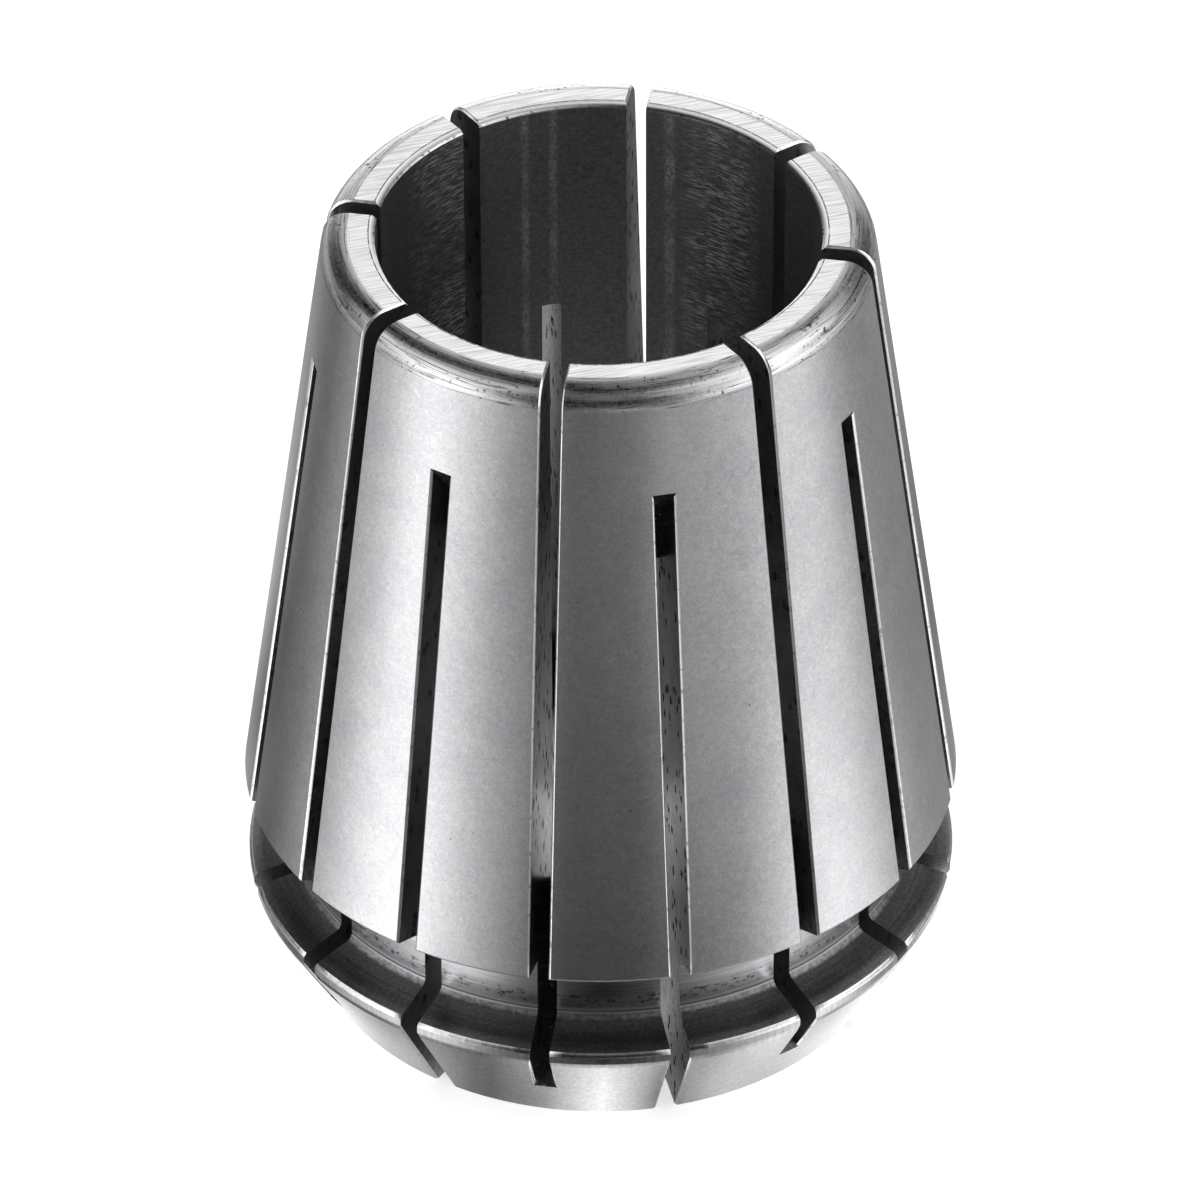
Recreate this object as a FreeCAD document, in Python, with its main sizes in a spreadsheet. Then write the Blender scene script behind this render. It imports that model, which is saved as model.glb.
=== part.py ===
# Slotted spring collet, one piece of hardened steel, turned, bored, slotted and ground.
# Millimetres and degrees. It stands on its wide nose face: the origin is the centre of
# that face, and +Z runs up the axis to the narrow end.
import FreeCAD, Part
import math
import os

import Sketcher

# Driving dimensions
SIZES = {
    # Outline of the turned blank
    "body_diameter": 33.0,  # largest, at the lower edge of the long taper
    "overall_length": 40.0,
    "body_half_angle": 8.0,  # long taper that seats in the holder
    "nose_half_angle": 30.0,  # short taper that the nut presses on
    "shoulder_height": 10.15,  # nose face to the lower edge of the long taper
    "shoulder_slope": 20.0,  # underside of the long taper, from square to the axis
    "groove_width": 3.75,  # from the lower edge of the long taper to the foot of the floor
    "groove_depth": 2.2,  # floor of the groove below the edge of the shoulder
    "flank_slope": 17.0,  # lower side of the groove, from square to the axis
    "crest_setback": 0.1,  # crest inside the edge of the shoulder
    "crest_width": 0.65,
    # Bore and turned edges
    "bore_diameter": 20.0,
    "bore_chamfer": 0.25,
    "narrow_end_radius": 1.25,
    "groove_root_radius": 0.4,
    "crest_edge_break": 0.15,
    # Slots, sawn in turn from the two ends
    "slots_per_end": 8,
    "slot_width": 0.9,
    "saw_diameter": 63.0,
    "saw_overrun": 2.4,  # how far the saw's rim passes through the wall of the bore
    "uncut_nose_height": 2.65,  # left on the nose taper under the slots of the narrow end
    "uncut_end_height": 5.35,  # left on the long taper above the slots of the nose
    "slot_edge_break": 0.1,
}

# Largest share of a wall that a rounding may take
ROUNDING_SHARE = 0.9
# Free space that the slot outlines leave outside the blank
CUT_MARGIN = 2.0
# Closeness for telling edges and faces apart
NEAR = 0.001

# Point names within a sketch
START, END, CENTRE = range(1, 4)
ORIGIN = (-1, 1)


def cell(name):
    """The sheet's cell for a driving dimension, as an expression."""
    return "sizes." + name


BODY_RADIUS = cell("body_diameter") + " / 2"
BORE_RADIUS = cell("bore_diameter") + " / 2"
CREST_RADIUS = BODY_RADIUS + " - " + cell("crest_setback")
GROOVE_RADIUS = BODY_RADIUS + " - " + cell("groove_depth")
SAW_RADIUS = cell("saw_diameter") + " / 2"
GROOVE_FOOT = cell("shoulder_height") + " - " + cell("groove_width")
FLANK_RISE = "(%s - %s) * tan(%s * 1 deg)" % (
    cell("groove_depth"), cell("crest_setback"), cell("flank_slope"))
CREST_TOP = GROOVE_FOOT + " - " + FLANK_RISE
CREST_BASE = CREST_TOP + " - " + cell("crest_width")
END_WALL = "(%s - (%s - %s) * tan(%s * 1 deg) - %s - %s)" % (
    BODY_RADIUS, cell("overall_length"), cell("shoulder_height"), cell("body_half_angle"),
    BORE_RADIUS, cell("bore_chamfer"))
# The rounding of the narrow end takes this share of its own radius off the end face
END_TANGENT = "tan(45 deg - %s / 2 * 1 deg)" % cell("body_half_angle")
END_RADIUS = "min(%s; %s * %s / %s)" % (
    cell("narrow_end_radius"), ROUNDING_SHARE, END_WALL, END_TANGENT)


def write_sheet(doc):
    """The driving dimensions, one named cell each."""
    sheet = doc.addObject("Spreadsheet::Sheet", "sizes")
    for row, (name, value) in enumerate(SIZES.items(), start=1):
        sheet.set("A%d" % row, name)
        sheet.set("B%d" % row, str(value))
        sheet.setAlias("B%d" % row, name)
    doc.recompute()


def check(condition, message):
    if not condition:
        raise RuntimeError(message)


def origin_part(body, role):
    """One of the body's own origin planes or axes."""
    return next(item for item in body.Origin.OriginFeatures if item.Role == role)


def new_sketch(body, name, plane):
    """A sketch on one of the body's origin planes."""
    sketch = body.newObject("Sketcher::SketchObject", name)
    sketch.AttachmentSupport = [(origin_part(body, plane), "")]
    sketch.MapMode = "FlatFace"
    return sketch


def constrain(sketch, kind, *items):
    """A constraint with no size of its own."""
    sketch.addConstraint(Sketcher.Constraint(kind, *items))


def drive(sketch, kind, items, name, value, expression):
    """A named constraint that follows the sheet; value is where the solver starts."""
    index = sketch.addConstraint(Sketcher.Constraint(kind, *items, value))
    sketch.renameConstraint(index, name)
    sketch.setExpression("Constraints." + name, expression)


def drive_x(sketch, point, name, value, expression):
    drive(sketch, "DistanceX", (*ORIGIN, *point), name, value, expression)


def drive_y(sketch, point, name, value, expression):
    drive(sketch, "DistanceY", (*ORIGIN, *point), name, value, expression)


def add_line(sketch, start, end):
    first, second = FreeCAD.Vector(*start, 0), FreeCAD.Vector(*end, 0)
    return sketch.addGeometry(Part.LineSegment(first, second), False)


def add_arc(sketch, centre, radius, start, end):
    """Arc drawn counterclockwise between two angles in degrees."""
    circle = Part.Circle(FreeCAD.Vector(*centre, 0), FreeCAD.Vector(0, 0, 1), radius)
    return sketch.addGeometry(Part.ArcOfCircle(circle, math.radians(start), math.radians(end)), False)


def corner_point(sketch, first, second, x, y):
    """Construction point where two lines would meet without the arc between them."""
    point = sketch.addGeometry(Part.Point(FreeCAD.Vector(x, y, 0)), True)
    constrain(sketch, "PointOnObject", point, START, first)
    constrain(sketch, "PointOnObject", point, START, second)
    return point, START


def turn_blank(body):
    """Solid of revolution: nose taper, crest, groove, shoulder and long taper."""
    sketch = new_sketch(body, "blank_half_section", "XZ_Plane")
    # Starting outline, radius and height; the constraints bring it to size
    foot = add_line(sketch, (0, 0), (13.5, 0))
    nose_taper = add_line(sketch, (13.5, 0), (16.4, 5.1))
    crest = add_line(sketch, (16.4, 5.1), (16.4, 5.7))
    flank = add_line(sketch, (16.4, 5.7), (14.6, 6.3))
    root = add_arc(sketch, (14.7, 6.7), 0.4, 180, 253)
    groove = add_line(sketch, (14.3, 6.7), (14.3, 9.4))
    shoulder = add_line(sketch, (14.3, 9.4), (16.5, 10.2))
    long_taper = add_line(sketch, (16.5, 10.2), (12.3, 40))
    end_face = add_line(sketch, (12.3, 40), (0, 40))
    axis = add_line(sketch, (0, 40), (0, 0))

    for line in (foot, end_face):
        constrain(sketch, "Horizontal", line)
    for line in (crest, groove, axis):
        constrain(sketch, "Vertical", line)
    constrain(sketch, "Coincident", foot, START, *ORIGIN)
    for before, after in ((axis, foot), (foot, nose_taper), (nose_taper, crest), (crest, flank),
                          (groove, shoulder), (shoulder, long_taper), (long_taper, end_face),
                          (end_face, axis)):
        constrain(sketch, "Coincident", before, END, after, START)
    constrain(sketch, "Tangent", flank, END, root, END)
    constrain(sketch, "Tangent", root, START, groove, START)

    groove_foot = corner_point(sketch, flank, groove, 14.3, 6.4)
    drive_x(sketch, (crest, START), "crest_radius", 16.4, CREST_RADIUS)
    drive_x(sketch, groove_foot, "groove_radius", 14.3, GROOVE_RADIUS)
    drive_x(sketch, (long_taper, START), "body_radius", 16.5, BODY_RADIUS)
    drive_y(sketch, (crest, START), "crest_base", 5.1, CREST_BASE)
    drive_y(sketch, (crest, END), "crest_top", 5.7, CREST_TOP)
    drive_y(sketch, groove_foot, "groove_foot", 6.4, GROOVE_FOOT)
    drive_y(sketch, (long_taper, START), "shoulder_height", 10.2, cell("shoulder_height"))
    drive_y(sketch, (end_face, START), "overall_length", 40, cell("overall_length"))
    drive(sketch, "Radius", (root,), "root", 0.4, cell("groove_root_radius"))
    drive(sketch, "Angle", (shoulder,), "underside_slope", math.radians(20),
          "%s * 1 deg" % cell("shoulder_slope"))
    drive(sketch, "Angle", (nose_taper,), "nose_taper_slope", math.radians(60),
          "90 deg - %s * 1 deg" % cell("nose_half_angle"))
    drive(sketch, "Angle", (long_taper,), "long_taper_slope", math.radians(98),
          "90 deg + %s * 1 deg" % cell("body_half_angle"))
    blank = body.newObject("PartDesign::Revolution", "turned_blank")
    blank.Profile = sketch
    blank.ReferenceAxis = (sketch, ["V_Axis"])
    blank.Angle = 360
    return sketch


def bore_through(body):
    """Straight bore that grips the tool's shank."""
    sketch = new_sketch(body, "bore_circle", "XY_Plane")
    centre, axis = FreeCAD.Vector(0, 0, 0), FreeCAD.Vector(0, 0, 1)
    sketch.addGeometry(Part.Circle(centre, axis, 10), False)
    constrain(sketch, "Coincident", 0, CENTRE, *ORIGIN)
    drive(sketch, "Radius", (0,), "bore_radius", 10, BORE_RADIUS)
    bore = body.newObject("PartDesign::Pocket", "bore")
    bore.Profile = sketch
    bore.Type = "ThroughAll"
    bore.Reversed = True
    body.Document.recompute()
    return bore


def circles(shape, radius, height):
    """Names of the circles about the axis with this radius and height."""
    names = []
    for index, edge in enumerate(shape.Edges, start=1):
        if not isinstance(edge.Curve, Part.Circle):
            continue
        level = edge.Curve.Center.z
        if abs(edge.Curve.Radius - radius) < NEAR and abs(level - height) < NEAR:
            names.append("Edge%d" % index)
    return names


def dress(kind, name, base, edges, prop, expression):
    """A fillet or chamfer on edges of the feature before it."""
    check(edges, "no edge found for " + name)
    body = base.getParentGeoFeatureGroup()
    feature = body.newObject("PartDesign::" + kind, name)
    feature.Base = (base, edges)
    feature.setExpression(prop, expression)
    body.Document.recompute()
    return feature


def finish_turned_edges(base, section):
    """Mouths of the bore and rounding of the narrow end."""
    length = SIZES["overall_length"]
    bore = SIZES["bore_diameter"] / 2
    rim = max(
        vertex.Point.x for vertex in section.Shape.Vertexes if vertex.Point.z > length - NEAR)
    mouths = circles(base.Shape, bore, 0) + circles(base.Shape, bore, length)
    base = dress("Chamfer", "bore_mouths", base, mouths, "Size", cell("bore_chamfer"))
    crest, crest_base, crest_top = (
        section.getDatum(name).Value for name in ("crest_radius", "crest_base", "crest_top"))
    ridge = circles(base.Shape, crest, crest_base) + circles(base.Shape, crest, crest_top)
    base = dress("Chamfer", "crest_edges", base, ridge, "Size", cell("crest_edge_break"))
    ends = circles(base.Shape, rim, length)
    return dress("Fillet", "narrow_end_rounding", base, ends, "Radius", END_RADIUS)


def slot_outline(sketch, up, breakout_radius, breakout_height):
    """Radial section swept by the saw. It runs out past the narrow end (up) or the nose,
    and closes with the arc of the saw's rim, which leaves the outer surface at the breakout
    point and turns parallel to the axis inside the bore."""
    inside, outside, turn, saw = 7.6, 18.5, 20.0, 31.5
    mouth, tail = (42.0, -1.0) if up else (-2.0, 41.0)
    corners = [FreeCAD.Vector(x, y, 0) for x, y in (
        (inside, turn), (inside, mouth), (outside, mouth), (outside, tail))]
    for first, second in zip(corners, corners[1:]):
        sketch.addGeometry(Part.LineSegment(first, second), False)
    rim = Part.Circle(FreeCAD.Vector(inside + saw, turn, 0), FreeCAD.Vector(0, 0, 1), saw)
    limits = sorted((rim.parameter(corners[0]), rim.parameter(corners[-1])))
    sketch.addGeometry(Part.ArcOfCircle(rim, *limits), False)
    sketch.addGeometry(Part.Point(FreeCAD.Vector(14, tail, 0)), True)
    in_bore, past_end, clear_side, arc, breakout = range(5)
    inner_end, outer_end = (START, END) if up else (END, START)
    constrain(sketch, "Vertical", in_bore)
    constrain(sketch, "Horizontal", past_end)
    constrain(sketch, "Vertical", clear_side)
    constrain(sketch, "Coincident", in_bore, END, past_end, START)
    constrain(sketch, "Coincident", past_end, END, clear_side, START)
    constrain(sketch, "Coincident", clear_side, END, arc, outer_end)
    constrain(sketch, "Tangent", in_bore, START, arc, inner_end)
    constrain(sketch, "PointOnObject", breakout, START, arc)
    beyond = "%s + %s" % (cell("overall_length"), CUT_MARGIN) if up else "-%s" % CUT_MARGIN
    drive(sketch, "Radius", (arc,), "saw_radius", saw, SAW_RADIUS)
    drive_x(sketch, (in_bore, START), "reach", inside, BORE_RADIUS + " - " + cell("saw_overrun"))
    drive_x(sketch, (clear_side, START), "clear_radius", outside, "%s + %s" % (BODY_RADIUS, CUT_MARGIN))
    drive_y(sketch, (past_end, START), "run_out", mouth, beyond)
    drive_x(sketch, (breakout, START), "breakout_radius", 14, breakout_radius)
    drive_y(sketch, (breakout, START), "breakout_height", tail, breakout_height)


def saw_slots(body, name, up, half_step, breakout_radius, breakout_height):
    """One slot in a radial plane, repeated about the axis."""
    sketch = new_sketch(body, name + "_section", "XZ_Plane")
    if half_step:
        sketch.AttachmentOffset = FreeCAD.Placement(
            FreeCAD.Vector(0, 0, 0), FreeCAD.Rotation(FreeCAD.Vector(0, 1, 0), 22.5))
        sketch.setExpression("AttachmentOffset.Rotation.Angle", "180 deg / " + cell("slots_per_end"))
    slot_outline(sketch, up, breakout_radius, breakout_height)
    slot = body.newObject("PartDesign::Pocket", name)
    slot.Profile = sketch
    slot.SideType = "Symmetric"
    slot.setExpression("Length", cell("slot_width"))
    body.Document.recompute()
    pattern = body.newObject("PartDesign::PolarPattern", name + "_around_axis")
    pattern.Originals = [slot]
    pattern.Axis = (origin_part(body, "Z_Axis"), [""])
    pattern.Angle = 360
    pattern.setExpression("Occurrences", cell("slots_per_end"))
    body.Tip = pattern
    body.Document.recompute()
    return pattern


def is_wall(face):
    """Flat side of a slot."""
    surface = face.Surface
    if not isinstance(surface, Part.Plane) or abs(surface.Axis.z) > NEAR:
        return False
    return abs(abs(surface.Axis.dot(surface.Position)) - SIZES["slot_width"] / 2) < NEAR


def is_sawn(face):
    """Side of a slot, or the arc that it ends in."""
    surface = face.Surface
    if isinstance(surface, Part.Cylinder):
        return abs(surface.Radius - SIZES["saw_diameter"] / 2) < NEAR
    return is_wall(face)


def is_flat_at(height):
    """Test for a face square to the axis at this height."""
    def test(face):
        surface = face.Surface
        return isinstance(surface, Part.Plane) and (
            abs(surface.Axis.z) > 1 - NEAR and abs(surface.Position.z - height) < NEAR)
    return test


def is_taper(half_angle):
    """Test for a cone of this half angle in degrees."""
    def test(face):
        surface = face.Surface
        return isinstance(surface, Part.Cone) and (
            abs(abs(surface.SemiAngle) - math.radians(half_angle)) < NEAR)
    return test


def is_shoulder(face):
    """Underside of the long taper, the upper side of the groove."""
    middle = SIZES["shoulder_height"] - SIZES["groove_width"] / 2
    return is_taper(90 - SIZES["shoulder_slope"])(face) and face.CenterOfMass.z > middle


def is_rounding(radius):
    """Test for a rounded ring of this section radius."""
    def test(face):
        surface = face.Surface
        return isinstance(surface, Part.Toroid) and abs(surface.MinorRadius - radius) < NEAR
    return test


def edges_between(shape, first, second):
    """Names of the edges whose two faces pass one test each."""
    names = []
    for index, edge in enumerate(shape.Edges, start=1):
        faces = shape.ancestorsOfType(edge, Part.Face)
        if len(faces) != 2:
            continue
        one, other = faces
        if (first(one) and second(other)) or (first(other) and second(one)):
            names.append("Edge%d" % index)
    return names


def break_edges(base, end_radius):
    """Small chamfers along the mouths of the slots and the lower edge of the long taper."""
    long_taper = is_taper(SIZES["body_half_angle"])
    names = edges_between(base.Shape, is_shoulder, long_taper)
    for outside in (long_taper, is_rounding(end_radius),
                    is_flat_at(SIZES["overall_length"]), is_taper(SIZES["nose_half_angle"])):
        names += edges_between(base.Shape, is_sawn, outside)
    return dress("Chamfer", "slot_edges", base, names, "Size", cell("slot_edge_break"))


def build():
    doc = FreeCAD.newDocument("spring_collet")
    write_sheet(doc)
    body = doc.addObject("PartDesign::Body", "collet")
    body.Label = "collet"
    section = turn_blank(body)
    bore = bore_through(body)
    blank = finish_turned_edges(bore, section)
    blank_volume = blank.Shape.Volume

    # Slots from the narrow end stop on the nose taper; slots from the nose, half a step
    # round, stop on the long taper
    nose_radius = "%s - (%s - %s) * tan(%s * 1 deg)" % (
        CREST_RADIUS, "(" + CREST_BASE + ")", cell("uncut_nose_height"), cell("nose_half_angle"))
    end_level = "(%s - %s)" % (cell("overall_length"), cell("uncut_end_height"))
    end_radius = "%s - (%s - %s) * tan(%s * 1 deg)" % (
        BODY_RADIUS, end_level, cell("shoulder_height"), cell("body_half_angle"))
    upper = saw_slots(body, "slots_from_narrow_end", True, False, nose_radius, cell("uncut_nose_height"))
    upper_volume = upper.Shape.Volume
    lower = saw_slots(body, "slots_from_nose", False, True, end_radius, end_level)
    check(upper_volume < blank_volume - 1, "the slots from the narrow end cut nothing")
    check(lower.Shape.Volume < upper_volume - 1, "the slots from the nose cut nothing")
    break_edges(lower, blank.Radius.Value)
    doc.recompute()

    for item in doc.Objects:
        check("Invalid" not in item.State and "Error" not in item.State, "bad state: " + item.Label)
        if hasattr(item, "FullyConstrained"):
            check(item.FullyConstrained, "loose sketch: " + item.Label)
    shape = body.Shape
    check(not shape.isNull() and shape.isValid(), "the shape is null or not valid")
    check(len(shape.Solids) == 1, "the part is not one solid")
    os.makedirs("parts", exist_ok=True)
    shape.exportStep("parts/collet.step")
    box = shape.optimalBoundingBox(True, False)
    print("collet: %.3f x %.3f x %.3f mm, %.1f mm3, %d faces" % (
        box.XLength, box.YLength, box.ZLength, shape.Volume, len(shape.Faces)))


build()
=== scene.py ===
"""Studio picture of a slotted spring collet of ground steel, standing on its nose face."""
import math

import bpy
import numpy as np
from mathutils import Matrix, Vector


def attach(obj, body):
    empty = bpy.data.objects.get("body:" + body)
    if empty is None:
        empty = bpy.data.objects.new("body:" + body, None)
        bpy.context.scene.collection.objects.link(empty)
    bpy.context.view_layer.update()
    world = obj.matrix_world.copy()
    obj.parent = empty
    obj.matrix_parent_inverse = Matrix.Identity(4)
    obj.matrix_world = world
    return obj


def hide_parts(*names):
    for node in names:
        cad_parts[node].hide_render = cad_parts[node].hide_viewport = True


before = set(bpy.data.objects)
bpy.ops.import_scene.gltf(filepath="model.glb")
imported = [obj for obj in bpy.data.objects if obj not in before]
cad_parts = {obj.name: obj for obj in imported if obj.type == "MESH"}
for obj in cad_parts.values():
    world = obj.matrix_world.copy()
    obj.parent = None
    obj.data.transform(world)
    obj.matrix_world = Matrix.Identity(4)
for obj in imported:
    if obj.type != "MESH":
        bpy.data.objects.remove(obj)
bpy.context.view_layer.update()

MM = 0.001

# Camera, read from the photograph: degrees, and millimetres in the frame
CAMERA_AZIMUTH = 9.9
CAMERA_ELEVATION = 37.20
CAMERA_ROLL = -0.209
CAMERA_DISTANCE = 454.6
CAMERA_TARGET = (0.0, 0.0, 19.29)
CAMERA_LENS = 297.52
CAMERA_NEAR = 10.0
CAMERA_FAR = 5000.0
SENSOR = 36.0

# Sizes of the collet that its surfaces are told apart by, in millimetres and degrees. The saw's
# centre is at this radius, and at one of two heights where it ends a slot
LENGTH = 40.0
BODY_RADIUS = 16.5
BODY_HALF_ANGLE = 8.0
NOSE_HALF_ANGLE = 30.0
SHOULDER = 10.15
SHOULDER_SLOPE = 20.0
GROOVE_RADIUS = 14.3
GROOVE_FOOT = 6.4
GROOVE_ROOT = 0.4
FLANK_SLOPE = 17.0
CREST_RADIUS = 16.4
CREST_BASE = 5.108
BORE_RADIUS = 10.0
BORE_CHAMFER = 0.25
END_ROUNDING = 1.25
SLOT_STEP = 22.5
SAW_RADIUS = 31.5
SAW_CENTRE = 39.1
SAW_HEIGHT_FROM_TOP = 22.8
SAW_HEIGHT_FROM_NOSE = 17.05

# What sorts the mesh's triangles: millimetres, degrees, and parts of a normal of length 1
WELD = 0.0001
SURFACE_REACH = 0.04
SURFACE_TILT = 12.0
WALL_TURN = 0.99
WALL_RISE = 0.01
SLOT_END_REACH = 0.42
SLOT_END_TURN = 0.1
RING_TURN = 0.08
SHOULDER_REACH = 0.3
TINY = 1e-9

# How the shading bends over worn and broken edges: degrees, and shares of 1
MOUTH_WEAR = 34.0
EDGE_FLATNESS = 0.65
EDGE_TURN = 0.3
EDGE_AGREEMENT = 0.2
AREA_POWER = 0.25

# Base colour of each finish, and the colour that stains it
COLOURS = {
    "ground_taper": ((0.600, 0.602, 0.622), (0.607, 0.597, 0.609)),
    "turned_rounding": ((0.610, 0.610, 0.625), None),
    "ground_end_face": ((0.90, 0.895, 0.892), (0.70, 0.69, 0.69)),
    # Painted shade: the bore's base colour is half as bright as the steel outside
    "dark_bore": ((0.30, 0.293, 0.298), None),
    "turned_groove": ((0.55, 0.55, 0.566), None),
    # Painted shade: the flank's base colour is far darker than the steel, for the shade under the
    # shoulder
    "turned_flank": ((0.17, 0.169, 0.174), (0.42, 0.395, 0.38)),
    "ground_nose": ((0.600, 0.600, 0.612), None),
    "sawn_slot": ((0.520, 0.517, 0.532), (0.41, 0.39, 0.385)),
    # Painted shade: the blind ends' base colour is nearly black
    "sawn_end": ((0.08, 0.079, 0.082), None),
    # Painted highlight: the edges' base colour is near white, brighter than the steel
    "broken_edge": ((0.95, 0.95, 0.955), None),
}

# Lines and bands of marks on the steel: radius or height, and half width, in millimetres
MOUTH_LINE = (10.28, 0.035)
MOUTH_DASHES = (10.04, 0.05)
RIM_LINE = (11.13, 0.025)
SPECKS_BAND = (7.3, 0.35)
ROOT_LINE = (6.66, 0.06)

# Sectors of scratches with painted glints, of painted reflections and of painted shade: bearing
# and half width in degrees. A sector of painted shade on the slots has its darkness too
GLINTING_SCRATCHES_RIGHT = (65.5, 10.0)
GLINTING_SCRATCHES_LEFT = (140.0, 15.0)
PAINTED_REFLECTION_RIGHT = (81.0, 1.7)
PAINTED_REFLECTIONS_LEFT = ((111.8, 1.2), (119.4, 1.2))
FLANK_SHADE = (-30.0, 22.0)
SLOT_PAINTED_SHADE = (((135.0, 12.0), 0.6), ((112.5, 6.0), 0.8))

# Where a mark, a gloss, painted light or painted shade fades: from this radius or height to that,
# in millimetres
END_FACE_START = (10.25, 10.30)
SCRATCH_GLINTS_FADE = (20.0, 30.0)
PAINTED_REFLECTIONS_FADE = (14.0, 32.0)
ROOT_GRIT_FADE = (6.50, 6.62)
ROOT_DULL_FADE = (6.70, 6.90)
FOOT_PAINTED_LIGHT_FADE = (14.5, 15.5)
FOOT_DULL_FADE = (14.6, 15.6)
CREST_STAIN_FADE = (15.7, 16.35)
SLOT_FOOT_SHADE_FADE = (17.0, 22.0)
SLOT_TOP_SHADE_FADE = (28.0, 33.0)

# Bearing of the grinding lines on the end face, and of the slot that the left scratches with
# painted glints stop short of, by this distance
GRINDING_LAY = 26.0
SCRATCH_GLINTS_END = 135.0
SCRATCH_GLINTS_GAP = (0.2, 0.5)

# Slots are a little less than pure metal, so that soft light reaches down them
SLOT_METAL = 0.945

# Floor and soft light; a white surface has a brightness of 1
FLOOR_HALF = 1500.0
FLOOR_COLOUR = (0.85, 0.85, 0.85)
FLOOR_LIFT = 0.65
SOFT_LIGHT = 0.7

# Light tent that only the metal sees: its rows are rings on the floor, at a radius, and rings
# of the dome above, at an elevation. Each has its brightness at these azimuths, which run
# from the camera's side to its right
TENT_LIFT = 0.01
TENT_REACH = 450.0
TENT_STEPS = 96
TENT_AZIMUTHS = (-180, -145, -120, -100, -80, -65, -50, -36, -24, -12,
                 0, 12, 24, 36, 50, 65, 80, 100, 120, 145)
TENT_ROWS = [
    ("floor", 0.0, (0.4,) * 20),
    ("floor", 14.0, (0.8, 1.5, 0.35, 0, 0, 1.55, 0.85, 0.55, 0.15, 0.4,
        1.55, 0.2, 0.85, 0.85, 1.25, 1.55, 0.05, 0, 0.8, 1.95)),
    ("floor", 17.0, (0, 0, 0.9, 1.5, 0.35, 0, 0, 0.25, 0.15, 0.75,
        1.2, 0.7, 0.4, 1.5, 0.3, 1.15, 1.95, 2.6, 2.4, 1.8)),
    ("floor", 22.0, (0, 0, 0.95, 0, 0, 0.4, 0.95, 1.3, 0.25, 0.1,
        0, 0.1, 0.35, 0.8, 1.55, 0.2, 0, 0.35, 0.4, 0.9)),
    ("floor", 35.0, (0.05, 1.05, 0.05, 0.1, 0.65, 1.6, 2.6, 1.05, 0.35, 0,
        0, 0, 0, 0.15, 1.35, 2.1, 0.85, 0.4, 0.3, 0.05)),
    ("floor", 75.0, (0.15, 0.3, 0.05, 0.45, 0.8, 1.8, 0.65, 0.2, 0.45, 0.15,
        0.15, 0.05, 0.7, 0.35, 0, 0.55, 0.85, 0.2, 0.3, 0.45)),
    ("floor", 450.0, (2.6, 1, 0.6, 0.8, 0.45, 2.35, 2.6, 1.5, 0, 0,
        0.45, 1, 0, 0.9, 2.25, 2.35, 2.6, 1.7, 0.35, 0.3)),
    ("dome", 14.0, (2.6, 0, 0, 0, 1.5, 2.6, 1.5, 0, 0, 0,
        0, 0, 0, 0.3, 1.5, 2.6, 0.75, 0, 0.15, 0)),
    ("dome", 32.0, (0.95, 0, 0, 1.85, 1.2, 2.6, 1.45, 0, 0, 0,
        0, 0, 0, 0.4, 0.9, 1.3, 2.4, 2.15, 0.15, 0)),
    ("dome", 52.0, (1.2, 0, 0, 0, 1.4, 0.7, 0.85, 0.95, 0, 0,
        0.5, 0, 0.4, 0.95, 1.3, 1.7, 2.15, 1.15, 1.5, 0.15)),
    ("dome", 72.0, (0, 0, 0, 0, 0, 0, 0, 0.35, 0, 0,
        0, 0, 0, 0, 0, 0, 0, 0.25, 1.55, 0.55)),
    ("dome", 90.0, (0,) * 20),
]


# Turned surfaces of the collet

def line(radius, height, angle):
    """Surface that is straight in section, through a point, with its normal at this angle
    above level. It gives the distance from it and its normal's parts outwards and up."""
    nr = math.cos(math.radians(angle))
    nz = math.sin(math.radians(angle))
    return lambda r, z: ((r - radius) * nr + (z - height) * nz, nr + 0 * r, nz + 0 * r)


def arc(radius, height, size, sign):
    """Surface that is round in section about a point, given as line() gives its own; sign is
    +1 where the steel is inside the arc."""
    def surface(r, z):
        dr = r - radius
        dz = z - height
        reach = np.maximum(np.hypot(dr, dz), TINY)
        return reach - size, sign * dr / reach, sign * dz / reach
    return surface


def turned_surfaces():
    """Each turned surface, as a function of radius and height."""
    slope = math.radians(BODY_HALF_ANGLE)
    end_radius = BODY_RADIUS - (LENGTH - SHOULDER) * math.tan(slope)
    rounding_radius = end_radius - END_ROUNDING * math.tan(math.pi / 4 - slope / 2)
    flank = math.radians(FLANK_SLOPE)
    root_height = GROOVE_FOOT + GROOVE_ROOT * math.tan(math.pi / 4 - flank / 2)
    return {
        "taper": line(BODY_RADIUS, SHOULDER, BODY_HALF_ANGLE),
        "end_face": line(0, LENGTH, 90),
        "end_rounding": arc(rounding_radius, LENGTH - END_ROUNDING, END_ROUNDING, 1),
        "bore": line(BORE_RADIUS, 0, 180),
        "upper_mouth": line(BORE_RADIUS + BORE_CHAMFER, LENGTH, 135),
        "lower_mouth": line(BORE_RADIUS + BORE_CHAMFER, 0, 225),
        "shoulder": line(BODY_RADIUS, SHOULDER, SHOULDER_SLOPE - 90),
        "groove": line(GROOVE_RADIUS, 0, 0),
        "root": arc(GROOVE_RADIUS + GROOVE_ROOT, root_height, GROOVE_ROOT, -1),
        "flank": line(GROOVE_RADIUS, GROOVE_FOOT, 90 - FLANK_SLOPE),
        "crest": line(CREST_RADIUS, 0, 0),
        "nose": line(CREST_RADIUS, CREST_BASE, -NOSE_HALF_ANGLE),
        "nose_face": line(0, 0, -90),
    }


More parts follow.
